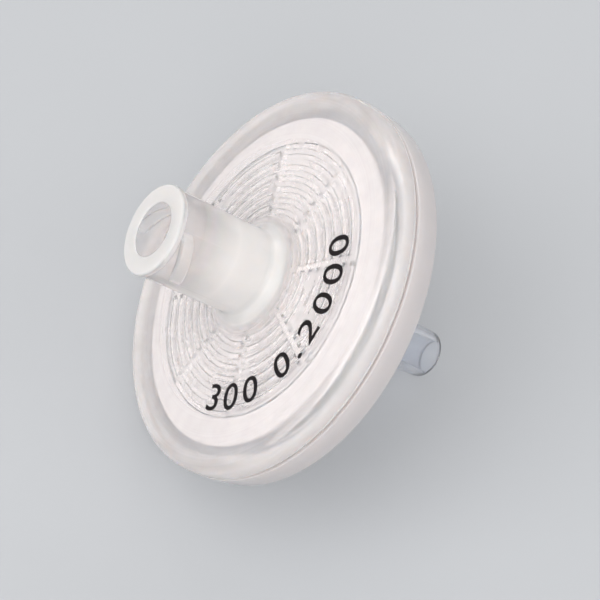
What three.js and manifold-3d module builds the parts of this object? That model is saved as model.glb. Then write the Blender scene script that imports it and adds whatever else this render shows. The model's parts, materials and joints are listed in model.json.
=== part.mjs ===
// Syringe filter: two welded polypropylene shells that hold a membrane disc.
// The inlet shell carries a female Luer-lock hub, the outlet shell a male Luer slip nozzle.
// Millimetres, +Z up. The filter lies as it comes to rest, on the back edge of its disc and
// on the end of its nozzle. The origin is on that surface, at the middle of the footprint.

import * as THREE from 'three';
import { mergeVertices } from 'three/addons/utils/BufferGeometryUtils.js';
import Module from 'manifold-3d';

const wasm = await Module();
wasm.setup();

// ---------------------------------------------------------------- driving dimensions

// Along the flow axis, each piece is drawn with its heights measured up from the outlet tip.
const OVERALL_LENGTH = 28.8;
const HUB_LENGTH = 9.5;
const DISC_THICKNESS = 4.3;
const DISC_RADIUS = 15.7;

const RIM_ROUND = 1.0;
const BACK_ROUND = 0.3;
const SHELL_DRAFT = 0.15;
const EDGE_BREAK = 0.1;

// Parting plane, weld tongue and groove, and the seat of the membrane.
const INLET_RIM_DEPTH = 1.85;
const PARTING_GAP = 0.3;
const TONGUE_INNER = 14.1;
const TONGUE_OUTER = 14.9;
const TONGUE_DEPTH = 0.95;
const CHAMBER_RADIUS = 11.15;
const INLET_PLATE = 1.25;
const OUTLET_PLATE = 1.3;
const MEMBRANE_RADIUS = 13.3;
const MEMBRANE_THICKNESS = 0.25;
const CLAMP_RECESS = 0.15;

// Female Luer-lock hub: a socket with the 6 % Luer taper, a lip and two angled lugs.
const LUER_SLOPE = 0.03;
const SOCKET_RADIUS = 2.15;
const SOCKET_DEPTH = 8.0;
const INLET_HOLE_RADIUS = 1.1;
const HUB_RADIUS = 3.48;
const LIP_RADIUS = 3.6;
const LIP_WIDTH = 0.42;
const LIP_ROUND = 0.22;
const HUB_FILLET = 1.2;
const LUG_COUNT = 2;
const LUG_START_ANGLE = 337;
const LUG_SPAN_ANGLE = 74;
const LUG_RAMP_ANGLE = 12;
const LUG_LEAD = 8.0;
const LUG_START_DEPTH = 0.05;
const LUG_ROOT_WIDTH = 1.3;
const LUG_FRONT_FLANK = 0.3;
const LUG_BACK_FLANK = 0.12;
const LUG_HEIGHT = 0.3;
const LUG_STEPS = 12;

// Male Luer nozzle on a short boss.
const TIP_RADIUS = 2.0;
const TIP_ROUND = 0.2;
const TAPER_LENGTH = 10.5;
const BOSS_RADIUS = 3.1;
const BOSS_SHOULDER = 0.9;
const BOSS_FILLET = 0.4;
const TIP_BORE_RADIUS = 1.2;
const OUTLET_HOLE_RADIUS = 1.0;

// Concentric support ribs inside both shells, broken by radial flow channels.
const RIB_RINGS = 8;
const RIB_PITCH = 0.92;
const RIB_FIRST_RADIUS = 4.0;
const RIB_WIDTH = 0.45;
const CHANNEL_COUNT = 8;
const CHANNEL_WIDTH = 0.65;
const CHANNEL_ANGLE = -16;

// How far the root of a rib or lug goes into its body, and the dip of a lug's ends under it.
const ROOT_SINK = 0.2;
const LUG_END_DIP = 0.02;

// Facets: an even count, turned by half a facet so that a flat of the disc meets the surface.
const TURNS = 36;
const ROUND_STEPS = 4;
const EDGE_STEPS = 2;
const RIB_ARC_DIVISIONS = 2;

// ---------------------------------------------------------------- heights and support points

const MOUTH = OVERALL_LENGTH;
const FACE = MOUTH - HUB_LENGTH;
const BACK = FACE - DISC_THICKNESS;
const INLET_PARTING = FACE - INLET_RIM_DEPTH;
const OUTLET_PARTING = INLET_PARTING - PARTING_GAP;
const INLET_CLAMP = INLET_PARTING + CLAMP_RECESS;
const MEMBRANE_TOP = INLET_CLAMP - PARTING_GAP;
const MEMBRANE_BOTTOM = MEMBRANE_TOP - MEMBRANE_THICKNESS;
const OUTLET_SEAT = MEMBRANE_BOTTOM - PARTING_GAP;
const INLET_CEILING = FACE - INLET_PLATE;
const OUTLET_FLOOR = BACK + OUTLET_PLATE;

// The two edges that the filter rests on, as points of its section.
const DIAGONAL = Math.SQRT1_2;
const REST_ON_DISC = {
  radius: DISC_RADIUS - SHELL_DRAFT - BACK_ROUND * (1 - DIAGONAL),
  height: BACK + BACK_ROUND * (1 - DIAGONAL),
};
const REST_ON_TIP = {
  radius: TIP_RADIUS - TIP_ROUND * (1 - DIAGONAL),
  height: TIP_ROUND * (1 - DIAGONAL),
};
const FLAT_FACTOR = Math.cos(Math.PI / TURNS);
const AXIS_TILT = Math.atan2(
  (REST_ON_DISC.radius - REST_ON_TIP.radius) * FLAT_FACTOR,
  REST_ON_DISC.height - REST_ON_TIP.height,
);

// ---------------------------------------------------------------- section outlines

/** Points of a circular arc in the section, from one angle to another in degrees. */
function arc(radius, height, size, from, to, steps) {
  const points = [];
  for (let i = 0; i <= steps; i++) {
    const angle = THREE.MathUtils.degToRad(from + ((to - from) * i) / steps);
    points.push([radius + size * Math.cos(angle), height + size * Math.sin(angle)]);
  }
  return points;
}

/** Section of the inlet shell, anticlockwise: outside upwards, then down the socket. */
function inletSection() {
  const lipFoot = MOUTH - LIP_WIDTH;
  const faceRadius = DISC_RADIUS - SHELL_DRAFT;
  return [
    [INLET_HOLE_RADIUS, INLET_CEILING],
    [CHAMBER_RADIUS, INLET_CEILING],
    [CHAMBER_RADIUS, INLET_CLAMP],
    [TONGUE_INNER, INLET_CLAMP],
    [TONGUE_INNER, INLET_PARTING - TONGUE_DEPTH],
    [TONGUE_OUTER, INLET_PARTING - TONGUE_DEPTH],
    [TONGUE_OUTER, INLET_PARTING],
    [DISC_RADIUS - EDGE_BREAK, INLET_PARTING],
    [DISC_RADIUS, INLET_PARTING + EDGE_BREAK],
    ...arc(faceRadius - RIM_ROUND, FACE - RIM_ROUND, RIM_ROUND, 0, 90, ROUND_STEPS),
    ...arc(HUB_RADIUS + HUB_FILLET, FACE + HUB_FILLET, HUB_FILLET, 270, 180, ROUND_STEPS),
    [HUB_RADIUS, lipFoot - EDGE_BREAK],
    [LIP_RADIUS, lipFoot],
    ...arc(LIP_RADIUS - LIP_ROUND, MOUTH - LIP_ROUND, LIP_ROUND, 0, 90, EDGE_STEPS),
    [SOCKET_RADIUS, MOUTH],
    [SOCKET_RADIUS - LUER_SLOPE * SOCKET_DEPTH, MOUTH - SOCKET_DEPTH],
    [INLET_HOLE_RADIUS, MOUTH - SOCKET_DEPTH],
  ];
}

/** Section of the outlet shell, anticlockwise: up the nozzle and the wall, then down the bore. */
function outletSection() {
  const backRadius = DISC_RADIUS - SHELL_DRAFT;
  const grooveFloor = INLET_PARTING - TONGUE_DEPTH - PARTING_GAP;
  return [
    [TIP_BORE_RADIUS, 0],
    ...arc(TIP_RADIUS - TIP_ROUND, TIP_ROUND, TIP_ROUND, 270, 360, EDGE_STEPS),
    [TIP_RADIUS + LUER_SLOPE * TAPER_LENGTH, TAPER_LENGTH],
    [BOSS_RADIUS, TAPER_LENGTH + BOSS_SHOULDER],
    ...arc(BOSS_RADIUS + BOSS_FILLET, BACK - BOSS_FILLET, BOSS_FILLET, 180, 90, EDGE_STEPS),
    ...arc(backRadius - BACK_ROUND, BACK + BACK_ROUND, BACK_ROUND, 270, 360, EDGE_STEPS),
    [DISC_RADIUS, OUTLET_PARTING - EDGE_BREAK],
    [DISC_RADIUS - EDGE_BREAK, OUTLET_PARTING],
    [TONGUE_OUTER + PARTING_GAP, OUTLET_PARTING],
    [TONGUE_OUTER + PARTING_GAP, grooveFloor],
    [TONGUE_INNER - PARTING_GAP, grooveFloor],
    [TONGUE_INNER - PARTING_GAP, OUTLET_SEAT],
    [CHAMBER_RADIUS, OUTLET_SEAT],
    [CHAMBER_RADIUS, OUTLET_FLOOR],
    [OUTLET_HOLE_RADIUS, OUTLET_FLOOR],
  ];
}

/** Section of the membrane, a plain disc that reaches the axis. */
function membraneSection() {
  return [
    [0, MEMBRANE_BOTTOM],
    [MEMBRANE_RADIUS, MEMBRANE_BOTTOM],
    [MEMBRANE_RADIUS, MEMBRANE_TOP],
    [0, MEMBRANE_TOP],
  ];
}

// ---------------------------------------------------------------- solids

/** Turns a section about the flow axis; a section that leaves the axis is closed on itself. */
function revolve(section) {
  const outline = section.map(([radius, height]) => new THREE.Vector2(radius, height));
  if (section[0][0] > 0) {
    outline.push(outline[0].clone());
  }
  const geometry = new THREE.LatheGeometry(outline, TURNS, Math.PI / TURNS);
  return geometry.rotateX(Math.PI / 2);
}

/** Makes a closed geometry into a solid that can be joined and cut. */
function toSolid(geometry) {
  const bare = geometry.index ? geometry.toNonIndexed() : geometry.clone();
  bare.deleteAttribute('normal');
  bare.deleteAttribute('uv');
  const merged = mergeVertices(bare, 1e-4);
  return new wasm.Manifold(new wasm.Mesh({
    numProp: 3,
    vertProperties: new Float32Array(merged.attributes.position.array),
    triVerts: new Uint32Array(merged.index.array),
  }));
}

/** Gives a solid's surface back as a geometry with its normals. */
function toGeometry(solid) {
  const { vertProperties, triVerts } = solid.getMesh();
  const geometry = new THREE.BufferGeometry();
  geometry.setAttribute('position', new THREE.BufferAttribute(vertProperties, 3));
  geometry.setIndex(new THREE.BufferAttribute(triVerts, 1));
  geometry.computeVertexNormals();
  return geometry;
}

/** One rib: an arc of a ring between two flow channels, standing on a plate. */
function rib(radius, sector, bottom, top) {
  const inner = radius - RIB_WIDTH / 2;
  const outer = radius + RIB_WIDTH / 2;
  const half = Math.asin(CHANNEL_WIDTH / 2 / inner);
  const pitch = (2 * Math.PI) / CHANNEL_COUNT;
  const first = THREE.MathUtils.degToRad(CHANNEL_ANGLE) + sector * pitch;
  const shape = new THREE.Shape();
  shape.absarc(0, 0, outer, first + half, first + pitch - half, false);
  shape.absarc(0, 0, inner, first + pitch - half, first + half, true);
  const settings = { depth: top - bottom, bevelEnabled: false, curveSegments: RIB_ARC_DIVISIONS };
  return new THREE.ExtrudeGeometry(shape, settings).translate(0, 0, bottom);
}

/** All ribs of one shell; every other sector is set outwards by half a pitch. */
function ribs(bottom, top) {
  const all = [];
  for (let sector = 0; sector < CHANNEL_COUNT; sector++) {
    const shift = (sector % 2) * RIB_PITCH / 2;
    for (let ring = 0; ring < RIB_RINGS; ring++) {
      all.push(rib(RIB_FIRST_RADIUS + shift + ring * RIB_PITCH, sector, bottom, top));
    }
  }
  return all;
}

/** Height of a lug at a fraction of its length: it ramps up at one end and down at the other. */
function lugRise(fraction) {
  const ramp = LUG_RAMP_ANGLE / LUG_SPAN_ANGLE;
  return Math.min(1, fraction / ramp, (1 - fraction) / ramp);
}

/** One lug: a straight trapezoid bar, wound onto the hub along the thread's lead. */
function lug(startAngle) {
  const root = HUB_RADIUS - ROOT_SINK;
  const shape = new THREE.Shape([
    new THREE.Vector2(0, 0),
    new THREE.Vector2(LUG_ROOT_WIDTH, 0),
    new THREE.Vector2(LUG_ROOT_WIDTH - LUG_BACK_FLANK, 1),
    new THREE.Vector2(LUG_FRONT_FLANK, 1),
  ]);
  const settings = { depth: 1, steps: LUG_STEPS, bevelEnabled: false };
  const geometry = new THREE.ExtrudeGeometry(shape, settings);
  const position = geometry.attributes.position;
  for (let i = 0; i < position.count; i++) {
    const along = position.getZ(i);
    const angle = THREE.MathUtils.degToRad(startAngle - along * LUG_SPAN_ANGLE);
    const rise = ROOT_SINK - LUG_END_DIP + (LUG_HEIGHT + LUG_END_DIP) * lugRise(along);
    const radius = root + position.getY(i) * rise;
    const depth = LUG_START_DEPTH + position.getX(i) + (LUG_LEAD * along * LUG_SPAN_ANGLE) / 360;
    position.setXYZ(i, radius * Math.cos(angle), radius * Math.sin(angle), MOUTH - depth);
  }
  return geometry;
}

/** The lugs of the hub, evenly spaced round it. */
function lugs() {
  const all = [];
  for (let i = 0; i < LUG_COUNT; i++) {
    all.push(lug(LUG_START_ANGLE + (i * 360) / LUG_COUNT));
  }
  return all;
}

/** Joins features to a body and gives the geometry of the whole piece. */
function join(body, features) {
  const solid = features.reduce((sum, feature) => sum.add(toSolid(feature)), toSolid(body));
  return toGeometry(solid);
}

// ---------------------------------------------------------------- pieces

/** Inlet shell with its hub, lugs and ribs, moulded in one piece. */
function inletHousing() {
  const features = [...ribs(INLET_CLAMP, INLET_CEILING + ROOT_SINK), ...lugs()];
  const material = new THREE.MeshStandardMaterial({ color: 0xe6e2e0, roughness: 0.3, metalness: 0 });
  const mesh = new THREE.Mesh(join(revolve(inletSection()), features), material);
  mesh.name = 'inlet_housing';
  return mesh;
}

/** Outlet shell with its nozzle and ribs, moulded in one piece. */
function outletHousing() {
  const features = ribs(OUTLET_FLOOR - ROOT_SINK, OUTLET_SEAT);
  const material = new THREE.MeshStandardMaterial({ color: 0xd2ccc8, roughness: 0.4, metalness: 0 });
  const mesh = new THREE.Mesh(join(revolve(outletSection()), features), material);
  mesh.name = 'outlet_housing';
  return mesh;
}

/** Membrane disc, loose between the two rings of ribs and held at its edge. */
function membrane() {
  const material = new THREE.MeshStandardMaterial({ color: 0xf5f2f0, roughness: 0.9, metalness: 0 });
  const mesh = new THREE.Mesh(revolve(membraneSection()), material);
  mesh.name = 'membrane';
  return mesh;
}

// ---------------------------------------------------------------- assembly

const filter = new THREE.Group();
filter.add(inletHousing(), membrane(), outletHousing());
filter.rotation.y = AXIS_TILT - Math.PI / 2;

const part = new THREE.Group();
part.add(filter);
const box = new THREE.Box3().setFromObject(part, true);
const middle = box.getCenter(new THREE.Vector3());
part.position.set(-middle.x, -middle.y, -box.min.z);

export default part;
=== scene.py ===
"""Looks of a disc syringe filter: two moulded shells, the membrane between them and the face print.

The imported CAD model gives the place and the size. Every piece is drawn here about its own flow
axis, in millimetres, with heights measured up from the end of the outlet nozzle. It is laid onto
the CAD model's flow axis, in metres, when it becomes an object.
"""

import json
import logging
import math
from dataclasses import dataclass, field
from enum import Enum
from typing import Any, Iterable, NamedTuple, Sequence

import bmesh
import bpy
from mathutils import Matrix, Vector


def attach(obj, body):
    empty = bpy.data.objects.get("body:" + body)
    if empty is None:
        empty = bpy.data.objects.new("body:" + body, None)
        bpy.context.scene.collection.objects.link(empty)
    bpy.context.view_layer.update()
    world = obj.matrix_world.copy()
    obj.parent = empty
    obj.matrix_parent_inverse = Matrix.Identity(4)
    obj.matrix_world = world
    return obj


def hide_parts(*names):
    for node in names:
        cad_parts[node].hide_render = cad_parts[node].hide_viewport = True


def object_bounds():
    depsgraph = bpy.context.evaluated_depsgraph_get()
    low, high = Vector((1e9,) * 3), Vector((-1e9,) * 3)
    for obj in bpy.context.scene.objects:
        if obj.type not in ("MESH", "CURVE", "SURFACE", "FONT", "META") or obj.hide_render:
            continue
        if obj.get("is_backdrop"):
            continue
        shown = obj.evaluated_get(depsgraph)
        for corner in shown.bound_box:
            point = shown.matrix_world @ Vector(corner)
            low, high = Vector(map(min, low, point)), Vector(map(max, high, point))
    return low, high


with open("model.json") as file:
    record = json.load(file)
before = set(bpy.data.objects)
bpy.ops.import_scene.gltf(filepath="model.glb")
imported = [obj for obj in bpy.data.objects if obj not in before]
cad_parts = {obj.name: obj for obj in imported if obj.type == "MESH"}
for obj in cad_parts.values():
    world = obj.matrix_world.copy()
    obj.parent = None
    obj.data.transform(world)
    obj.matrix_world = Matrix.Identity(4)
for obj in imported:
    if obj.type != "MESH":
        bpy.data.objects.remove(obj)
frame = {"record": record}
CAD_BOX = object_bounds()

LOG = logging.getLogger("syringe_filter")
MM = 0.001
FULL_TURN = 2.0 * math.pi

# Facets of a full turn, and of one rounded corner of a section.
TURN_STEPS = 240
CORNER_STEPS = 5
SMOOTH_ANGLE = math.radians(32.0)

# Points closer than these, in millimetres, are one point: of a turned solid, and of a joined one.
TURN_REACH = 1e-5
WELD_REACH = 2e-3

# Finer layers of a noise: in a moulding's grain, in soft clouds and in a fibrous mottle.
GRAIN_DETAIL = 2.0
CLOUD_DETAIL = 3.0
MOTTLE_DETAIL = 5.0


# ------------------------------------------------------------------------------- colour and nodes


def linear(code: str) -> tuple[float, float, float, float]:
    """Turns an sRGB hex colour into the linear values that shaders take.

    Args:
        code: The colour, such as "e8e4e0".

    Returns:
        Red, green, blue and an alpha of 1.
    """
    channels = (int(code[i : i + 2], 16) / 255.0 for i in (0, 2, 4))
    red, green, blue = (c / 12.92 if c <= 0.04045 else ((c + 0.055) / 1.055) ** 2.4 for c in channels)
    return red, green, blue, 1.0


def add_node(tree: bpy.types.NodeTree, kind: str, settings: dict[str, Any] | None = None,
             inputs: dict[Any, Any] | None = None) -> bpy.types.Node:
    """Adds one node with its settings, its input values and its incoming links.

    Args:
        tree: The node tree that gets the node.
        kind: The node's type name.
        settings: Properties of the node itself.
        inputs: For each input, a value to set or an output socket to link from.

    Returns:
        The new node.
    """
    node = tree.nodes.new(kind)
    for name, value in (settings or {}).items():
        setattr(node, name, value)
    for name, value in (inputs or {}).items():
        if isinstance(value, bpy.types.NodeSocket):
            tree.links.new(value, node.inputs[name])
        else:
            node.inputs[name].default_value = value
    return node


def add_math(tree: bpy.types.NodeTree, operation: str, *values: Any,
             clamp: bool = False) -> bpy.types.NodeSocket:
    """Adds a sum of sockets and numbers.

    Args:
        tree: The node tree that gets the sum.
        operation: The Math node's operation.
        values: Its inputs in order, as numbers or sockets.
        clamp: True to keep the result between 0 and 1.

    Returns:
        The result.
    """
    node = add_node(tree, "ShaderNodeMath", {"operation": operation, "use_clamp": clamp},
                    dict(enumerate(values)))
    return node.outputs[0]


def add_range(tree: bpy.types.NodeTree, value: bpy.types.NodeSocket, source: tuple[float, float],
              target: tuple[float, float] = (0.0, 1.0)) -> bpy.types.NodeSocket:
    """Maps a value from one range to another.

    Args:
        tree: The node tree that gets the mapping.
        value: The value.
        source: The range that it comes from.
        target: The range that it goes to.

    Returns:
        The mapped value.
    """
    node = add_node(tree, "ShaderNodeMapRange", inputs={
        "Value": value, "From Min": source[0], "From Max": source[1],
        "To Min": target[0], "To Max": target[1]})
    return node.outputs[0]


def add_noise(tree: bpy.types.NodeTree, place: bpy.types.NodeSocket, size: float,
              detail: float) -> bpy.types.NodeSocket:
    """Adds a noise in space.

    Args:
        tree: The node tree that gets the noise.
        place: The shaded point, in metres.
        size: The size of its largest blots, in millimetres.
        detail: How many finer layers it has.

    Returns:
        The noise.
    """
    node = add_node(tree, "ShaderNodeTexNoise", inputs={
        "Vector": place, "Scale": 1.0 / (size * MM), "Detail": detail})
    return node.outputs[0]


def add_ramp(tree: bpy.types.NodeTree, driver: bpy.types.NodeSocket,
             stops: Sequence[tuple[float, tuple[float, float, float, float]]]) -> bpy.types.NodeSocket:
    """Adds a colour ramp.

    Args:
        tree: The node tree that gets the ramp.
        driver: The socket that picks the place on the ramp.
        stops: Places and linear colours, in rising order.

    Returns:
        The ramp's colour.
    """
    node = add_node(tree, "ShaderNodeValToRGB", inputs={0: driver})
    ramp = node.color_ramp
    ramp.elements[0].position, ramp.elements[1].position = stops[0][0], stops[-1][0]
    for place, _ in stops[1:-1]:
        ramp.elements.new(place)
    for element, (_, colour) in zip(ramp.elements, stops):
        element.color = colour
    return node.outputs[0]


def add_bump(tree: bpy.types.NodeTree, height: bpy.types.NodeSocket, strength: float, depth: float,
             **normal: bpy.types.NodeSocket) -> bpy.types.NodeSocket:
    """Adds a relief.

    Args:
        tree: The node tree that gets the relief.
        height: Its pattern.
        strength: How strongly it shows.
        depth: Its depth, in millimetres.
        normal: The relief below it as Normal, if any.

    Returns:
        The turned normal.
    """
    node = add_node(tree, "ShaderNodeBump", inputs={
        "Height": height, "Strength": strength, "Distance": depth * MM, **normal})
    return node.outputs[0]


def new_material(name: str) -> tuple[bpy.types.Material, bpy.types.NodeTree]:
    """Makes an empty node material.

    Args:
        name: The finish that the material stands for.

    Returns:
        The material and its node tree, with no nodes in it.
    """
    material = bpy.data.materials.new(name)
    material.use_nodes = True
    material.node_tree.nodes.clear()
    return material, material.node_tree


# ------------------------------------------------------------------------------------ flow axis


class OwnPlace(NamedTuple):
    """The shaded point in the filter's own frame, in metres."""

    point: bpy.types.NodeSocket
    height: bpy.types.NodeSocket
    radius: bpy.types.NodeSocket


@dataclass(frozen=True)
class FlowAxis:
    """Place of the filter's own frame in the row frame."""

    matrix: Matrix

    @classmethod
    def from_mounts(cls, mounts: Iterable[dict[str, Any]]) -> "FlowAxis":
        """Finds the flow axis from the two mounts, which both lie level with it in Y.

        Args:
            mounts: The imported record's mounts.

        Returns:
            The axis, with its origin at the nozzle's end and its height towards the hub's mouth.
        """
        centres = {m["name"]: Vector((m["pos_m"][0], 0.0, m["pos_m"][2])) for m in mounts}
        tip = centres["outlet_tip"]
        upward = (centres["inlet_mouth"] - tip).normalized()
        across = Vector((0.0, 1.0, 0.0))
        turn = Matrix((across.cross(upward), across, upward)).transposed()
        return cls(Matrix.LocRotScale(tip, turn, Vector((MM, MM, MM))))

    def add_place(self, tree: bpy.types.NodeTree) -> OwnPlace:
        """Adds the nodes that bring a finish's patterns into the filter's own frame.

        Args:
            tree: The finish's nodes.

        Returns:
            The shaded point, its height and its radius.
        """
        back = self.matrix.inverted()
        own = add_node(tree, "ShaderNodeTexCoord")
        local = add_node(tree, "ShaderNodeMapping", {"vector_type": "POINT"}, {
            "Vector": own.outputs["Object"], "Location": back.to_translation() * MM,
            "Rotation": Vector(back.to_euler())})
        parts = add_node(tree, "ShaderNodeSeparateXYZ", inputs={0: local.outputs[0]})
        level = add_node(tree, "ShaderNodeCombineXYZ", inputs={
            "X": parts.outputs["X"], "Y": parts.outputs["Y"]})
        radius = add_node(tree, "ShaderNodeVectorMath", {"operation": "LENGTH"}, {0: level.outputs[0]})
        return OwnPlace(local.outputs[0], parts.outputs["Z"], radius.outputs["Value"])


# ------------------------------------------------------------------------------------- finishes


class HazeDirection(Enum):
    """The way along which a moulding's haze changes."""

    HEIGHT = "height"
    RADIUS = "radius"


class HazeStep(NamedTuple):
    """One point of a haze curve: a height or radius in millimetres, and the milky share there."""

    place: float
    haze: float


class CoreFace(NamedTuple):
    """The surfaces that the mould's matt core formed: out to a radius and about a height.

    They are a little rougher, and they let this share of the lamps' light through.
    """

    radius: float
    middle: float
    reach: float
    roughness: float = 0.12
    passing: float = 0.96


@dataclass(frozen=True)
class NaturalPolypropylene:
    """Injection-moulded natural polypropylene.

    The plastic holds no pigment. It is clear where it is thin and milky where it is thick, because
    its crystals scatter light. The polished mould leaves it a soft satin gloss, with fine rings
    from the turning of the mould.
    """

    name: str
    clear: str
    milky: str
    haze: dict[HazeDirection, tuple[HazeStep, ...]]
    core: CoreFace
    index: float = 1.49
    roughness: float = 0.1
    gloss_spread: tuple[float, float] = (0.8, 1.25)
    flow_size: float = 2.4
    flow_span: tuple[float, float] = (0.3, 0.7)
    flow_share: float = 0.03
    flow_relief: float = 0.5
    grain_size: float = 0.12
    grain_relief: float = 0.2
    relief_depth: float = 0.002
    turning_size: float = 0.16
    turning_share: float = 0.02
    scatter_reach: tuple[float, float, float] = (1.0, 0.92, 0.85)
    scatter_depth: float = 0.6

    def haze_curve(self, tree: bpy.types.NodeTree, place: bpy.types.NodeSocket,
                   steps: Sequence[HazeStep]) -> bpy.types.NodeSocket:
        """Adds the milky share as a curve along one direction.

        Args:
            tree: The material's nodes.
            place: The height or radius at the shaded point, in metres.
            steps: The curve's points in rising order.

        Returns:
            The milky share.
        """
        low, high = steps[0].place, steps[-1].place
        along = add_range(tree, place, (low * MM, high * MM))
        stops = [((step.place - low) / (high - low), (step.haze, step.haze, step.haze, 1.0))
                 for step in steps]
        return add_ramp(tree, along, stops)

    def haze_share(self, tree: bpy.types.NodeTree, place: OwnPlace,
                   flow: bpy.types.NodeSocket) -> bpy.types.NodeSocket:
        """Adds up the flow's cloudiness, the turning rings and the haze curves.

        Args:
            tree: The material's nodes.
            place: The shaded point.
            flow: The flow's noise.

        Returns:
            The milky share.
        """
        haze = add_range(tree, flow, self.flow_span, (0.0, self.flow_share))
        turning = add_node(tree, "ShaderNodeTexNoise", {"noise_dimensions": "1D"}, {
            "W": place.radius, "Scale": 1.0 / (self.turning_size * MM), "Detail": GRAIN_DETAIL})
        haze = add_math(tree, "MULTIPLY_ADD", turning.outputs[0], self.turning_share, haze)
        along = {HazeDirection.HEIGHT: place.height, HazeDirection.RADIUS: place.radius}
        for direction, steps in self.haze.items():
            haze = add_math(tree, "ADD", haze, self.haze_curve(tree, along[direction], steps), clamp=True)
        return haze

    def core_share(self, tree: bpy.types.NodeTree, place: OwnPlace) -> bpy.types.NodeSocket:
        """Adds a mark of the surfaces that the core formed.

        Args:
            tree: The material's nodes.
            place: The shaded point.

        Returns:
            1 on those surfaces and 0 elsewhere.
        """
        level = add_math(tree, "COMPARE", place.height, self.core.middle * MM, self.core.reach * MM)
        inside = add_math(tree, "LESS_THAN", place.radius, self.core.radius * MM)
        return add_math(tree, "MULTIPLY", level, inside)

    def material(self, axis: FlowAxis) -> bpy.types.Material:
        """Builds the plastic, with its haze laid out in the filter's frame.

        Args:
            axis: The filter's frame.

        Returns:
            The node material.
        """
        material, tree = new_material(self.name)
        place = axis.add_place(tree)
        flow = add_noise(tree, place.point, self.flow_size, CLOUD_DETAIL)
        haze = self.haze_share(tree, place, flow)
        clearness = add_math(tree, "SUBTRACT", 1.0, haze, clamp=True)
        core = self.core_share(tree, place)
        low, high = self.gloss_spread
        gloss = add_range(tree, flow, self.flow_span, (self.roughness * low, self.roughness * high))
        grain = add_noise(tree, place.point, self.grain_size, GRAIN_DETAIL)
        rough = add_bump(tree, grain, self.grain_relief, self.relief_depth)
        plastic = add_node(tree, "ShaderNodeBsdfPrincipled", inputs={
            "Base Color": add_ramp(tree, haze, [(0.0, linear(self.clear)), (1.0, linear(self.milky))]),
            "IOR": self.index,
            "Roughness": add_math(tree, "MULTIPLY_ADD", core, self.core.roughness, gloss),
            "Transmission Weight": clearness,
            "Normal": add_bump(tree, flow, self.flow_relief, self.relief_depth, Normal=rough),
            "Subsurface Weight": 1.0, "Subsurface Radius": self.scatter_reach,
            "Subsurface Scale": self.scatter_depth * MM})
        passing = add_node(tree, "ShaderNodeBsdfTransparent", inputs={"Color": linear("ffffff")})
        ray = add_node(tree, "ShaderNodeLightPath")
        passed = add_math(tree, "MAXIMUM", clearness, add_math(tree, "MULTIPLY", core, self.core.passing))
        shader = add_node(tree, "ShaderNodeMixShader", inputs={
            0: add_math(tree, "MULTIPLY", ray.outputs["Is Shadow Ray"], passed),
            1: plastic.outputs[0], 2: passing.outputs[0]})
        add_node(tree, "ShaderNodeOutputMaterial", inputs={"Surface": shader.outputs[0]})
        return material


@dataclass(frozen=True)
class PorousMembrane:
    """Expanded porous film: dead matt white, with a faint fibrous mottle."""

    name: str = "expanded_porous_film"
    colour: str = "f8f4f2"
    shade: str = "ece8e7"
    fibre_size: float = 0.25
    nap_relief: float = 0.6
    nap_depth: float = 0.02
    roughness: float = 0.9

    def material(self, axis: FlowAxis) -> bpy.types.Material:
        """Builds the film.

        Args:
            axis: The filter's frame.

        Returns:
            The node material.
        """
        material, tree = new_material(self.name)
        mottle = add_noise(tree, axis.add_place(tree).point, self.fibre_size, MOTTLE_DETAIL)
        shader = add_node(tree, "ShaderNodeBsdfPrincipled", inputs={
            "Base Color": add_ramp(tree, mottle, [(0.35, linear(self.shade)), (0.6, linear(self.colour))]),
            "Roughness": self.roughness, "Normal": add_bump(tree, mottle, self.nap_relief, self.nap_depth)})
        add_node(tree, "ShaderNodeOutputMaterial", inputs={"Surface": shader.outputs[0]})
        return material


@dataclass(frozen=True)
class PadPrintInk:
    """Black pad-print ink: a thin, nearly matt film that is a little uneven."""

    name: str = "black_pad_print_ink"
    colour: str = "140e10"
    worn: str = "2a2224"
    spot_size: float = 0.2
    roughness: float = 0.6
    gloss_level: float = 0.2

    def material(self) -> bpy.types.Material:
        """Builds the ink."""
        material, tree = new_material(self.name)
        own = add_node(tree, "ShaderNodeTexCoord")
        spots = add_noise(tree, own.outputs["Object"], self.spot_size, CLOUD_DETAIL)
        shader = add_node(tree, "ShaderNodeBsdfPrincipled", inputs={
            "Base Color": add_ramp(tree, spots, [(0.5, linear(self.colour)), (0.8, linear(self.worn))]),
            "Roughness": self.roughness, "Specular IOR Level": self.gloss_level})
        add_node(tree, "ShaderNodeOutputMaterial", inputs={"Surface": shader.outputs[0]})
        return material


# ------------------------------------------------------------------------------------ modelling


class Corner(NamedTuple):
    """A corner of a section: its radius and height, and how far its rounding reaches."""

    radius: float
    height: float
    rounding: float = 0.0


def rounded_outline(corners: Sequence[Corner], closed: bool = True) -> bmesh.types.BMesh:
    """Draws a section as a line and rounds its corners.

    Args:
        corners: The section's corners in order.
        closed: False for a section whose ends lie on the axis.

    Returns:
        A mesh of edges in the XZ plane.
    """
    shape = bmesh.new()
    points = [shape.verts.new((c.radius, 0.0, c.height)) for c in corners]
    ends = points[1:] + points[:1] if closed else points[1:]
    for first, second in zip(points, ends):
        shape.edges.new((first, second))
    for point, corner in zip(points, corners):
        if corner.rounding:
            bmesh.ops.bevel(shape, geom=[point], offset=corner.rounding, offset_type="OFFSET",
                            segments=CORNER_STEPS, profile=0.5, affect="VERTICES", material=-1)
    return shape


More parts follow.
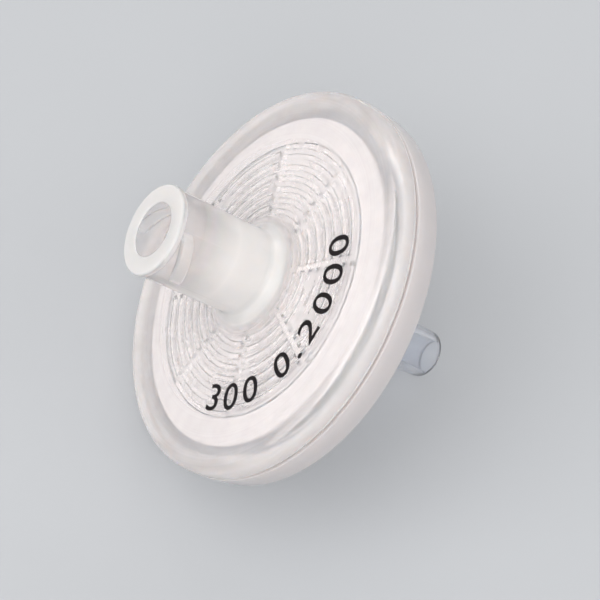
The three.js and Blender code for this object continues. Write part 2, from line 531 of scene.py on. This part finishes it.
def turned(corners: Sequence[Corner], closed: bool = True) -> bmesh.types.BMesh:
    """Turns a section about the flow axis into a closed solid.

    Args:
        corners: The section's corners in order.
        closed: False for a section whose ends lie on the axis.

    Returns:
        The solid, with its faces pointing out.
    """
    solid = rounded_outline(corners, closed)
    bmesh.ops.spin(solid, geom=solid.verts[:] + solid.edges[:], cent=(0, 0, 0), axis=(0, 0, 1),
                   angle=FULL_TURN, steps=TURN_STEPS, use_merge=True)
    bmesh.ops.remove_doubles(solid, verts=solid.verts[:], dist=TURN_REACH)
    bmesh.ops.recalc_face_normals(solid, faces=solid.faces[:])
    return solid


def swept(corners: Sequence[Corner], start: float, span: float, rise: float = 0.0,
          steps: int = 16) -> bmesh.types.BMesh:
    """Sweeps a filled section round the axis through part of a turn.

    Args:
        corners: The section's corners in order.
        start: Angle of the first end, in radians.
        span: Angle to the other end, in radians.
        rise: How far the section moves along the axis on the way.
        steps: Facets of the sweep.

    Returns:
        The closed bar.
    """
    bar = rounded_outline(corners)
    bmesh.ops.contextual_create(bar, geom=bar.edges[:])
    bmesh.ops.rotate(bar, verts=bar.verts[:], cent=(0, 0, 0), matrix=Matrix.Rotation(start, 3, "Z"))
    bmesh.ops.spin(bar, geom=bar.verts[:] + bar.edges[:] + bar.faces[:], cent=(0, 0, 0),
                   axis=(0, 0, 1), angle=span, steps=steps, dvec=(0, 0, rise / steps))
    bmesh.ops.recalc_face_normals(bar, faces=bar.faces[:])
    return bar


def gathered(parts: Iterable[bmesh.types.BMesh]) -> bmesh.types.BMesh:
    """Puts several meshes into one and frees them.

    Args:
        parts: The meshes to gather.

    Returns:
        One mesh that holds them all.
    """
    whole = bmesh.new()
    for part in parts:
        copy = bpy.data.meshes.new("part")
        part.to_mesh(copy)
        part.free()
        whole.from_mesh(copy)
        bpy.data.meshes.remove(copy)
    return whole


def as_object(name: str, shape: bmesh.types.BMesh) -> bpy.types.Object:
    """Makes a mesh object of a bmesh and frees the bmesh.

    Args:
        name: The object's name.
        shape: The mesh, in the filter's own frame.

    Returns:
        The linked object.
    """
    mesh = bpy.data.meshes.new(name)
    shape.to_mesh(mesh)
    shape.free()
    made = bpy.data.objects.new(name, mesh)
    bpy.context.scene.collection.objects.link(made)
    return made


def drop_folds(mesh: bpy.types.Mesh) -> None:
    """Cleans a joined mesh in place, so that every edge is shared by exactly two faces.

    Args:
        mesh: The joined mesh: its doubles are merged, and pairs of faces on the same corners go.
    """
    cleaned = bmesh.new()
    cleaned.from_mesh(mesh)
    bmesh.ops.remove_doubles(cleaned, verts=cleaned.verts[:], dist=WELD_REACH)
    bmesh.ops.dissolve_degenerate(cleaned, edges=cleaned.edges[:], dist=WELD_REACH)
    bmesh.ops.triangulate(cleaned, faces=cleaned.faces[:])
    by_corners: dict[frozenset[bmesh.types.BMVert], list[bmesh.types.BMFace]] = {}
    for face in cleaned.faces:
        by_corners.setdefault(frozenset(face.verts), []).append(face)
    folds = [face for faces in by_corners.values() if len(faces) > 1 for face in faces]
    bmesh.ops.delete(cleaned, geom=folds, context="FACES")
    cleaned.to_mesh(mesh)
    cleaned.free()


def fused(name: str, body: bmesh.types.BMesh, features: bmesh.types.BMesh) -> bpy.types.Object:
    """Joins moulded features to a body, so that the plastic is one solid with no inner faces.

    Args:
        name: The piece's name.
        body: The main solid.
        features: Solids that reach into the body.

    Returns:
        The joined object.
    """
    piece = as_object(name, body)
    tool = as_object(name + "_features", features)
    union = piece.modifiers.new("union", "BOOLEAN")
    union.operation = "UNION"
    union.solver = "EXACT"
    union.use_self = False
    union.object = tool
    graph = bpy.context.evaluated_depsgraph_get()
    joined = bpy.data.meshes.new_from_object(piece.evaluated_get(graph))
    piece.modifiers.clear()
    piece.data = joined
    joined.name = name
    bpy.data.objects.remove(tool)
    drop_folds(joined)
    return piece


def finished(piece: bpy.types.Object, axis: FlowAxis, material: bpy.types.Material,
             stands_for: str | None = None) -> bpy.types.Object:
    """Lays a piece onto the flow axis, shades it, dresses it and ties it to the CAD model.

    Args:
        piece: The piece, still in its own frame.
        axis: The filter's frame.
        material: Its finish.
        stands_for: The CAD node that it replaces, if any.

    Returns:
        The same piece.
    """
    piece.data.transform(axis.matrix)
    piece.data.shade_smooth()
    piece.data.set_sharp_from_angle(angle=SMOOTH_ANGLE)
    piece.data.materials.clear()
    piece.data.materials.append(material)
    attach(piece, "root")
    if stands_for:
        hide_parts(stands_for)
    LOG.info("%s: %d faces", piece.name, len(piece.data.polygons))
    return piece


# ----------------------------------------------------------------------------------- the filter


@dataclass(frozen=True)
class Sizes:
    """Driving dimensions of the whole filter, as in the CAD model."""

    length: float = 28.8
    hub_length: float = 9.5
    disc_thickness: float = 4.3
    disc_radius: float = 15.7
    shell_draft: float = 0.15
    inlet_rim_depth: float = 1.85
    gap: float = 0.3
    tongue_inner: float = 14.1
    tongue_outer: float = 14.9
    tongue_depth: float = 0.95
    chamber_radius: float = 11.15
    clamp_recess: float = 0.15
    membrane_radius: float = 13.3
    membrane_gap: float = 0.1
    membrane_thickness: float = 0.35
    seat_spacing: float = 0.85
    luer_slope: float = 0.03

    @property
    def face(self) -> float:
        """Height of the flat front face."""
        return self.length - self.hub_length

    @property
    def back(self) -> float:
        """Height of the flat back face."""
        return self.face - self.disc_thickness

    @property
    def inlet_parting(self) -> float:
        """Height of the front shell's parting edge."""
        return self.face - self.inlet_rim_depth

    @property
    def outlet_parting(self) -> float:
        """Height of the back shell's parting edge."""
        return self.inlet_parting - self.gap

    @property
    def inlet_clamp(self) -> float:
        """Height of the front shell's inner land and of its ribs' ends."""
        return self.inlet_parting + self.clamp_recess

    @property
    def membrane_top(self) -> float:
        """Height of the membrane's upper side."""
        return self.inlet_clamp - self.membrane_gap

    @property
    def outlet_seat(self) -> float:
        """Height of the back shell's inner land and of its ribs' ends."""
        return self.inlet_clamp - self.seat_spacing


@dataclass(frozen=True)
class RibField:
    """Concentric support ribs, broken by radial flow channels."""

    rings: int = 8
    pitch: float = 0.92
    first_radius: float = 4.0
    width: float = 0.45
    sink: float = 0.2
    edge_round: float = 0.07
    end_share: float = 0.28
    channels: int = 8
    channel_width: float = 0.42
    channel_angle: float = math.radians(-16.0)
    steps: int = 24

    def bar(self, radius: float, sector: int, root: float, end: float) -> bmesh.types.BMesh:
        """Makes one rib, whose free edge slopes down into the plate at both ends.

        Args:
            radius: Radius of its middle line.
            sector: Which sector between two channels it lies in.
            root: Height of its sunk foot.
            end: Height of its free end.

        Returns:
            The closed bar.
        """
        inner, outer = radius - self.width / 2, radius + self.width / 2
        half = math.asin(self.channel_width / 2 / inner)
        sector_span = FULL_TURN / self.channels
        start = self.channel_angle + sector * sector_span + half
        span = sector_span - 2 * half
        corners = [Corner(inner, root), Corner(outer, root), Corner(outer, end, self.edge_round),
                   Corner(inner, end, self.edge_round)]
        bar = swept(corners, start, span, steps=self.steps)
        step = span / self.steps
        for vert in bar.verts:
            gone = (math.atan2(vert.co.y, vert.co.x) - start + step / 2) % FULL_TURN
            if gone < step or gone > span:
                vert.co.z = root + (vert.co.z - root) * self.end_share
        return bar

    def bars(self, plate: float, end: float) -> list[bmesh.types.BMesh]:
        """Makes all ribs between a plate and the height where they end.

        Args:
            plate: Height of the plate's inner face.
            end: Height of the ribs' free ends.

        Returns:
            One mesh for each rib; every other sector is set out by half a pitch.
        """
        root = plate + math.copysign(self.sink, plate - end)
        found = []
        for sector in range(self.channels):
            shift = (sector % 2) * self.pitch / 2
            for ring in range(self.rings):
                found.append(self.bar(self.first_radius + shift + ring * self.pitch, sector, root, end))
        return found


@dataclass(frozen=True)
class LockLugs:
    """The two angled lugs of the female lock hub."""

    count: int = 2
    start: float = math.radians(337.0)
    span: float = math.radians(74.0)
    ramp: float = math.radians(12.0)
    lead: float = 8.0
    start_depth: float = 0.05
    root_width: float = 1.3
    front_flank: float = 0.3
    back_flank: float = 0.12
    height: float = 0.3
    sink: float = 0.2
    dip: float = 0.02
    crest_round: float = 0.08
    steps: int = 48

    def bars(self, mouth: float, hub_radius: float) -> list[bmesh.types.BMesh]:
        """Makes the lugs, wound clockwise down the hub and ramped at both ends.

        Args:
            mouth: Height of the hub's mouth.
            hub_radius: Radius of the hub's outside.

        Returns:
            One mesh for each lug.
        """
        root = hub_radius - self.sink
        crest = hub_radius + self.height
        top = mouth - self.start_depth
        corners = [Corner(root, top), Corner(root, top - self.root_width),
                   Corner(crest, top - self.root_width + self.back_flank, self.crest_round),
                   Corner(crest, top - self.front_flank, self.crest_round)]
        drop = -self.lead * self.span / FULL_TURN
        found = []
        for index in range(self.count):
            start = self.start + index * FULL_TURN / self.count
            bar = swept(corners, start, -self.span, rise=drop, steps=self.steps)
            self.ramp_ends(bar, root, start)
            found.append(bar)
        return found

    def ramp_ends(self, bar: bmesh.types.BMesh, root: float, start: float) -> None:
        """Lowers the crest to just under the hub's surface at both ends of a lug.

        Args:
            bar: The lug.
            root: Radius of its foot.
            start: Angle of its first end.
        """
        full = self.sink + self.height
        least = (self.sink - self.dip) / full
        for vert in bar.verts:
            gone = (start - math.atan2(vert.co.y, vert.co.x)) % FULL_TURN
            gone = 0.0 if gone > FULL_TURN - self.ramp / 2 else gone
            rise = min(1.0, gone / self.ramp, (self.span - gone) / self.ramp)
            share = least + (1.0 - least) * max(0.0, rise)
            radius = math.hypot(vert.co.x, vert.co.y)
            scale = (root + (radius - root) * share) / radius
            vert.co.x *= scale
            vert.co.y *= scale


@dataclass
class InletHousing:
    """Front shell: the disc's face and rim, the female lock hub and the inner ribs."""

    sizes: Sizes
    ribs: RibField = field(default_factory=RibField)
    lugs: LockLugs = field(default_factory=LockLugs)
    plate: float = 1.25
    rim_round: float = 1.0
    edge_break: float = 0.1
    weld_inset: float = 0.17
    seam: float = 0.11
    socket_radius: float = 2.15
    socket_depth: float = 8.0
    hole_radius: float = 1.1
    hub_radius: float = 3.48
    lip_radius: float = 3.6
    lip_width: float = 0.42
    lip_round: float = 0.22
    hub_fillet: float = 1.2
    hole_round: float = 0.15
    ceiling_round: float = 0.2
    land_break: float = 0.08
    tongue_root_round: float = 0.1
    tongue_round: float = 0.15
    weld_root_round: float = 0.05
    weld_break: float = 0.03
    lip_foot_round: float = 0.05
    mouth_break: float = 0.08
    socket_end_round: float = 0.12
    hole_mouth_round: float = 0.1

    def section(self) -> list[Corner]:
        """Gives the shell's section: outside upwards, then down the socket."""
        s = self.sizes
        ceiling = s.face - self.plate
        lip_foot = s.length - self.lip_width
        socket_end = self.socket_radius - s.luer_slope * self.socket_depth
        tongue_end = s.inlet_parting - s.tongue_depth
        weld_end = s.outlet_parting + self.seam
        weld_radius = s.disc_radius - self.weld_inset
        return [
            Corner(self.hole_radius, ceiling, self.hole_round),
            Corner(s.chamber_radius, ceiling, self.ceiling_round),
            Corner(s.chamber_radius, s.inlet_clamp, self.land_break),
            Corner(s.tongue_inner, s.inlet_clamp, self.tongue_root_round),
            Corner(s.tongue_inner, tongue_end, self.tongue_round),
            Corner(s.tongue_outer, tongue_end, self.tongue_round),
            Corner(s.tongue_outer, weld_end, self.weld_root_round),
            Corner(weld_radius, weld_end, self.weld_break),
            Corner(weld_radius, s.inlet_parting),
            Corner(s.disc_radius, s.inlet_parting, self.edge_break),
            Corner(s.disc_radius - s.shell_draft, s.face, self.rim_round),
            Corner(self.hub_radius, s.face, self.hub_fillet),
            Corner(self.hub_radius, lip_foot - self.edge_break),
            Corner(self.lip_radius, lip_foot, self.lip_foot_round),
            Corner(self.lip_radius, s.length, self.lip_round),
            Corner(self.socket_radius, s.length, self.mouth_break),
            Corner(socket_end, s.length - self.socket_depth, self.socket_end_round),
            Corner(self.hole_radius, s.length - self.socket_depth, self.hole_mouth_round),
        ]

    def build(self, axis: FlowAxis, finish: NaturalPolypropylene) -> bpy.types.Object:
        """Builds and dresses the shell.

        Args:
            axis: The filter's frame.
            finish: Its plastic.

        Returns:
            The finished piece.
        """
        s = self.sizes
        features = self.ribs.bars(s.face - self.plate, s.inlet_clamp)
        features += self.lugs.bars(s.length, self.hub_radius)
        piece = fused("inlet_shell", turned(self.section()), gathered(features))
        return finished(piece, axis, finish.material(axis), "inlet_housing")


@dataclass
class OutletHousing:
    """Back shell: wall, back plate, inner ribs and the male slip nozzle."""

    sizes: Sizes
    ribs: RibField = field(default_factory=RibField)
    plate: float = 1.3
    back_round: float = 0.3
    edge_break: float = 0.1
    tip_radius: float = 2.0
    tip_round: float = 0.25
    bore_radius: float = 1.2
    taper_length: float = 10.5
    boss_radius: float = 3.1
    boss_shoulder: float = 0.9
    boss_fillet: float = 0.4
    hole_radius: float = 1.0
    bore_break: float = 0.12
    taper_end_round: float = 0.1
    shoulder_round: float = 0.2
    groove_break: float = 0.05
    groove_round: float = 0.15
    land_break: float = 0.08
    floor_round: float = 0.2
    hole_round: float = 0.15

    def section(self) -> list[Corner]:
        """Gives the shell's section: up the nozzle and the wall, then down the bore."""
        s = self.sizes
        floor = s.back + self.plate
        groove_end = s.inlet_parting - s.tongue_depth - s.gap
        taper_end = self.tip_radius + s.luer_slope * self.taper_length
        return [
            Corner(self.bore_radius, 0.0, self.bore_break),
            Corner(self.tip_radius, 0.0, self.tip_round),
            Corner(taper_end, self.taper_length, self.taper_end_round),
            Corner(self.boss_radius, self.taper_length + self.boss_shoulder, self.shoulder_round),
            Corner(self.boss_radius, s.back, self.boss_fillet),
            Corner(s.disc_radius - s.shell_draft, s.back, self.back_round),
            Corner(s.disc_radius, s.outlet_parting, self.edge_break),
            Corner(s.tongue_outer + s.gap, s.outlet_parting, self.groove_break),
            Corner(s.tongue_outer + s.gap, groove_end, self.groove_round),
            Corner(s.tongue_inner - s.gap, groove_end, self.groove_round),
            Corner(s.tongue_inner - s.gap, s.outlet_seat, self.land_break),
            Corner(s.chamber_radius, s.outlet_seat, self.land_break),
            Corner(s.chamber_radius, floor, self.floor_round),
            Corner(self.hole_radius, floor, self.hole_round),
        ]

    def build(self, axis: FlowAxis, finish: NaturalPolypropylene) -> bpy.types.Object:
        """Builds and dresses the shell.

        Args:
            axis: The filter's frame.
            finish: Its plastic.

        Returns:
            The finished piece.
        """
        s = self.sizes
        features = self.ribs.bars(s.back + self.plate, s.outlet_seat)
        piece = fused("outlet_shell", turned(self.section()), gathered(features))
        return finished(piece, axis, finish.material(axis), "outlet_housing")


@dataclass
class Membrane:
    """The filter disc that lies between the ribs of both shells."""

    sizes: Sizes
    edge_break: float = 0.03

    def build(self, axis: FlowAxis, finish: PorousMembrane) -> bpy.types.Object:
        """Builds and dresses the disc.

        Args:
            axis: The filter's frame.
            finish: Its film.

        Returns:
            The finished piece.
        """
        s = self.sizes
        bottom = s.membrane_top - s.membrane_thickness
        section = [Corner(0.0, bottom), Corner(s.membrane_radius, bottom, self.edge_break),
                   Corner(s.membrane_radius, s.membrane_top, self.edge_break), Corner(0.0, s.membrane_top)]
        piece = as_object("filter_disc", turned(section, closed=False))
        return finished(piece, axis, finish.material(axis), "membrane")


@dataclass
class FacePrint:
    """Plain numbers printed round the face, with their feet outwards."""

    sizes: Sizes
    text: str = "300 0.2000"
    foot_radius: float = 10.89
    height: float = 2.16
    cap_share: float = 0.73
    widening: float = 1.2
    boldness: float = 0.02
    spacing: float = 0.6
    word_space: float = 1.3
    middle: float = math.radians(298.0)
    thickness: float = 0.012
    lift: float = 0.003
    curve_steps: int = 6

    def glyph(self, character: str) -> tuple[bmesh.types.BMesh, float]:
        """Makes one character, standing on the origin and centred on it.

        Args:
            character: The character to draw.

        Returns:
            Its solid, with its front towards +Z, and its width.
        """
        curve = bpy.data.curves.new("glyph", "FONT")
        curve.body = character
        curve.size = self.height / self.cap_share
        curve.extrude = self.thickness / 2
        curve.offset = self.boldness
        curve.resolution_u = self.curve_steps
        holder = bpy.data.objects.new("glyph", curve)
        bpy.context.scene.collection.objects.link(holder)
        graph = bpy.context.evaluated_depsgraph_get()
        mesh = bpy.data.meshes.new_from_object(holder.evaluated_get(graph))
        bpy.data.objects.remove(holder)
        shape = bmesh.new()
        shape.from_mesh(mesh)
        bpy.data.meshes.remove(mesh)
        sides = [vert.co.x for vert in shape.verts]
        low, high = min(sides), max(sides)
        bmesh.ops.translate(shape, verts=shape.verts[:], vec=(-(low + high) / 2, 0.0, self.thickness / 2))
        bmesh.ops.scale(shape, verts=shape.verts[:], vec=(self.widening, 1.0, 1.0))
        return shape, (high - low) * self.widening

    def line(self) -> tuple[list[bmesh.types.BMesh], list[float], float]:
        """Makes the characters and sets them out along a straight line.

        Returns:
            Their solids, the place of each one's middle, and the line's length.
        """
        marks, centres, reach = [], [], 0.0
        for character in self.text:
            if character.isspace():
                reach += self.word_space
                continue
            mark, width = self.glyph(character)
            marks.append(mark)
            centres.append(reach + width / 2)
            reach += width + self.spacing
        return marks, centres, reach - self.spacing

    def build(self, axis: FlowAxis, finish: PadPrintInk) -> bpy.types.Object:
        """Builds and dresses the print.

        Args:
            axis: The filter's frame.
            finish: Its ink.

        Returns:
            The finished piece.
        """
        marks, centres, reach = self.line()
        middle_radius = self.foot_radius - self.height / 2
        for mark, centre in zip(marks, centres):
            angle = self.middle + (centre - reach / 2) / middle_radius
            place = (Matrix.Translation((0.0, 0.0, self.sizes.face + self.lift))
                     @ Matrix.Rotation(angle + math.pi / 2, 4, "Z")
                     @ Matrix.Translation((0.0, -self.foot_radius, 0.0)))
            bmesh.ops.transform(mark, matrix=place, verts=mark.verts[:])
        piece = as_object("face_print", gathered(marks))
        LOG.info("print covers %.1f degrees", math.degrees(reach / middle_radius))
        return finished(piece, axis, finish.material())


# ------------------------------------------------------------------------------------- the studio


class Lamp(NamedTuple):
    """A soft rectangular lamp: where it hangs as seen from the filter, in metres, and its watts."""

    name: str
    direction: tuple[float, float, float]
    distance: float
    size: tuple[float, float]
    power: float


LAMPS = (
    Lamp("key_softbox", (-0.6, -0.25, 0.8), 0.5, (0.35, 0.35), 0.78),
    Lamp("front_softbox", (0.05, -0.8, 0.75), 0.5, (0.35, 0.35), 0.7),
    Lamp("side_softbox", (0.9, -0.4, 0.8), 0.6, (0.4, 0.4), 0.65),
    Lamp("top_softbox", (-0.15, 0.05, 1.0), 0.5, (0.22, 0.22), 0.25),
    Lamp("back_strip", (0.3, 1.0, 0.8), 0.5, (0.5, 0.1), 0.5),
)


@dataclass
class Studio:
    """Pale floor, soft lights and the camera."""

    floor_colour: str = "bfc1c4"
    floor_size: float = 1.2
    floor_roughness: float = 0.8
    room_colour: str = "ffffff"
    room_strength: float = 0.5
    backdrop_colour: str = "bfc1c4"
    lamps: tuple[Lamp, ...] = LAMPS
    aim_shift: tuple[float, float, float] = (0.976, -1.333, 0.0)
    azimuth: float = math.radians(-1.087)
    elevation: float = math.radians(60.041)
    roll: float = math.radians(1.286)
    distance: float = 118.08
    lens: float = 91.98
    sensor: float = 36.0
    clip: tuple[float, float] = (0.001, 10.0)

    def floor(self, height: float) -> bpy.types.Object:
        """Lays the floor.

        Args:
            height: Height of its surface, in metres.

        Returns:
            The floor.
        """
        shape = bmesh.new()
        bmesh.ops.create_grid(shape, x_segments=1, y_segments=1, size=self.floor_size / 2)
        bmesh.ops.translate(shape, verts=shape.verts[:], vec=(0.0, 0.0, height))
        floor = as_object("floor", shape)
        material, tree = new_material("pale_matt_board")
        shader = add_node(tree, "ShaderNodeBsdfPrincipled", inputs={
            "Base Color": linear(self.floor_colour), "Roughness": self.floor_roughness})
        add_node(tree, "ShaderNodeOutputMaterial", inputs={"Surface": shader.outputs[0]})
        floor.data.materials.append(material)
        floor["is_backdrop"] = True
        return floor

    def world(self) -> None:
        """Fills the room with even pale light."""
        world = bpy.data.worlds.new("pale_room")
        world.use_nodes = True
        tree = world.node_tree
        tree.nodes.clear()
        room = add_node(tree, "ShaderNodeBackground", inputs={
            "Color": linear(self.room_colour), "Strength": self.room_strength})
        backdrop = add_node(tree, "ShaderNodeBackground", inputs={
            "Color": linear(self.backdrop_colour), "Strength": 1.0})
        ray = add_node(tree, "ShaderNodeLightPath")
        sharp = add_math(tree, "ADD", ray.outputs["Is Glossy Ray"], ray.outputs["Is Transmission Ray"],
                         clamp=True)
        seen = add_math(tree, "ADD", ray.outputs["Is Camera Ray"], sharp, clamp=True)
        both = add_node(tree, "ShaderNodeMixShader", inputs={
            0: seen, 1: room.outputs[0], 2: backdrop.outputs[0]})
        add_node(tree, "ShaderNodeOutputWorld", inputs={"Surface": both.outputs[0]})
        bpy.context.scene.world = world

    def lights(self) -> None:
        """Hangs the lamps, each facing the filter."""
        for lamp in self.lamps:
            light = bpy.data.lights.new(lamp.name, "AREA")
            light.shape = "RECTANGLE"
            light.size, light.size_y = lamp.size
            light.energy = lamp.power
            holder = bpy.data.objects.new(lamp.name, light)
            bpy.context.scene.collection.objects.link(holder)
            away = Vector(lamp.direction).normalized()
            holder.location = away * lamp.distance
            holder.rotation_euler = away.to_track_quat("Z", "Y").to_euler()

    def camera(self, box: tuple[Vector, Vector]) -> None:
        """Places the camera.

        Args:
            box: The filter's lowest and highest corners.
        """
        data = bpy.data.cameras.new("camera")
        data.lens, data.sensor_width = self.lens, self.sensor
        data.clip_start, data.clip_end = self.clip
        camera = bpy.data.objects.new("camera", data)
        bpy.context.scene.collection.objects.link(camera)
        back = Vector((math.sin(self.azimuth) * math.cos(self.elevation),
                       -math.cos(self.azimuth) * math.cos(self.elevation), math.sin(self.elevation)))
        aim = (box[0] + box[1]) / 2 + Vector(self.aim_shift) * MM
        turn = back.to_track_quat("Z", "Y") @ Matrix.Rotation(self.roll, 3, "Z").to_quaternion()
        camera.rotation_mode = "QUATERNION"
        camera.rotation_quaternion = turn
        camera.location = aim + back * self.distance * MM
        bpy.context.scene.camera = camera


def clear_grade(sizes: Sizes) -> NaturalPolypropylene:
    """Gives the front shell's plastic: clear, with a milky hub foot, lugs, rim and mouth.

    Args:
        sizes: The filter's dimensions.

    Returns:
        The finish.
    """
    by_radius = (
        HazeStep(0.0, 0.0), HazeStep(2.3, 0.0),
        HazeStep(3.48, 0.08),  # hub wall
        HazeStep(3.6, 0.3), HazeStep(3.8, 0.3),  # lugs and lip
        HazeStep(4.8, 0.0), HazeStep(11.2, 0.0),  # face over the ribs
        HazeStep(11.4, 0.06), HazeStep(13.0, 0.06),  # face over the clamped edge
        HazeStep(sizes.disc_radius, 0.2),
    )
    by_height = (
        HazeStep(sizes.inlet_parting - 0.1, 0.6), HazeStep(sizes.inlet_parting + 0.07, 0.6),  # weld
        HazeStep(sizes.inlet_parting + 0.12, 0.08), HazeStep(sizes.face - 0.8, 0.08),
        HazeStep(sizes.face - 0.2, 0.0), HazeStep(sizes.face, 0.055),
        HazeStep(sizes.face + 0.15, 0.42),  # hub fillet
        HazeStep(sizes.face + 1.3, 0.62), HazeStep(sizes.length - 5.5, 0.62),
        HazeStep(sizes.length - 2.2, 0.04), HazeStep(sizes.length - 0.15, 0.04),  # clear hub end
        HazeStep(sizes.length, 0.7),  # mouth
    )
    return NaturalPolypropylene(
        name="natural_polypropylene_clear", clear="fcfafa", milky="fcf1ee",
        haze={HazeDirection.RADIUS: by_radius, HazeDirection.HEIGHT: by_height},
        core=CoreFace(radius=sizes.chamber_radius + 0.1, middle=sizes.face - 1.7, reach=0.55))


def milky_grade_with_painted_shade(sizes: Sizes) -> NaturalPolypropylene:
    """Gives the back shell's plastic: milky at the wall and clear at the nozzle. Its milky colour is darker
    than the front shell's: partly the plastic's own warm tint, partly painted shade on the wall.

    Args:
        sizes: The filter's dimensions.

    Returns:
        The finish.
    """
    by_radius = (
        HazeStep(0.0, 0.0), HazeStep(14.6, 0.0),
        HazeStep(15.2, 0.3), HazeStep(sizes.disc_radius, 0.3),  # wall
    )
    by_height = (
        HazeStep(0.0, 0.05), HazeStep(sizes.back - 2.0, 0.08),  # nozzle and boss
        HazeStep(sizes.back, 0.3), HazeStep(sizes.outlet_parting, 0.4),  # plate and wall
    )
    # The milky colour e6dcd8 is a darker warm grey than the front shell's: partly the plastic's own tint,
    # partly painted shade of the side wall.
    return NaturalPolypropylene(
        name="natural_polypropylene_milky", clear="eef1f7", milky="e6dcd8",
        haze={HazeDirection.RADIUS: by_radius, HazeDirection.HEIGHT: by_height},
        core=CoreFace(radius=sizes.chamber_radius + 0.1, middle=sizes.back + 1.9, reach=0.7))


def main() -> None:
    """Builds the filter and its studio in order."""
    logging.basicConfig(level=logging.INFO, format="%(name)s: %(message)s")
    sizes = Sizes()
    axis = FlowAxis.from_mounts(frame["record"]["mounts"])
    InletHousing(sizes).build(axis, clear_grade(sizes))
    Membrane(sizes).build(axis, PorousMembrane())
    OutletHousing(sizes).build(axis, milky_grade_with_painted_shade(sizes))
    FacePrint(sizes).build(axis, PadPrintInk())
    low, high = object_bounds()
    studio = Studio()
    studio.floor(min(0.0, low.z))
    studio.world()
    studio.lights()
    studio.camera(CAD_BOX)
    bpy.context.scene.view_settings.view_transform = "Standard"
    LOG.info("visual box %s to %s", tuple(low), tuple(high))


if __name__ == "__main__":
    main()
